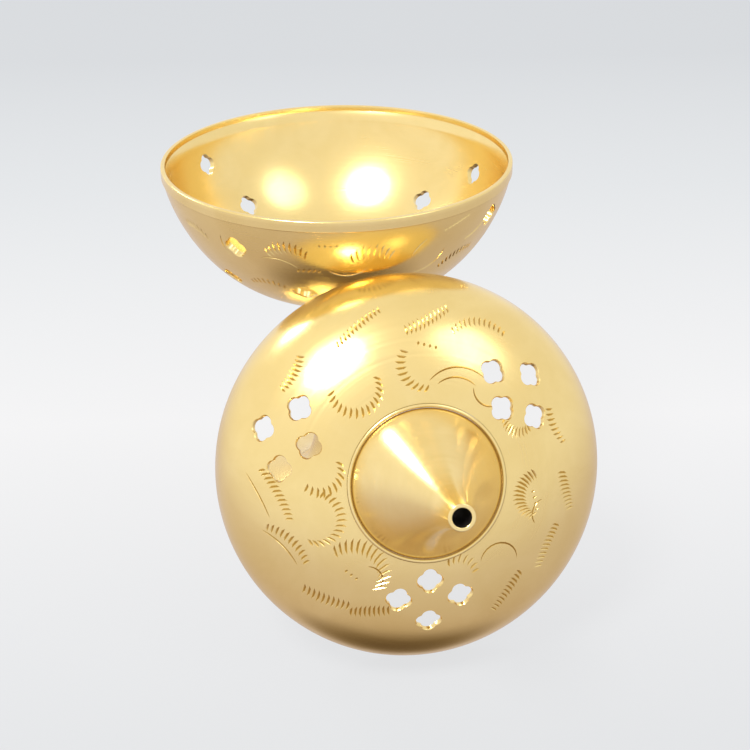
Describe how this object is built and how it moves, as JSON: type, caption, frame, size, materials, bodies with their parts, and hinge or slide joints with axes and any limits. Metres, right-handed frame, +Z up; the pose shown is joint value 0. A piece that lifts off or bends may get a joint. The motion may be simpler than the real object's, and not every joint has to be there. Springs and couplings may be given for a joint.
{
  "type": "footed incense burner",
  "caption": "Pierced brass incense burner in two loose halves: a bowl on a pedestal foot and a domed lid with a hollow spire leaning against it.",
  "frame": {"origin": "middle of the footprint of the bowl and the leaning lid, on the surface they stand on", "axes": "+Z up along the bowl's axis; +Y from the lid in front towards the bowl behind it; +X to the right seen from the front"},
  "size_m": [0.107, 0.159, 0.1025],
  "materials": {
    "shell_brass": "satin, fine lathe lines, bright-cut engraving",
    "spire_brass": "satin with a soft polish",
    "foot_brass": "satin, a little darker in the hollows",
    "fixing_brass": "dull, with soot from use"
  },
  "bodies": {
    "bowl": {"bowl_shell": "shell_brass", "stem_collar": "foot_brass", "pedestal": "foot_brass", "screw_washer": "fixing_brass", "bowl_screw": "fixing_brass"},
    "lid": {"lid_dome": "shell_brass", "lid_bead": "spire_brass", "lid_spire": "spire_brass"}
  },
  "joints": [
    {"name": "lid_lift", "type": "slide", "parent": "bowl", "child": "lid", "axis": [0.135, -0.9256, 0.3535], "range_m": [0, 0.1]}
  ]
}
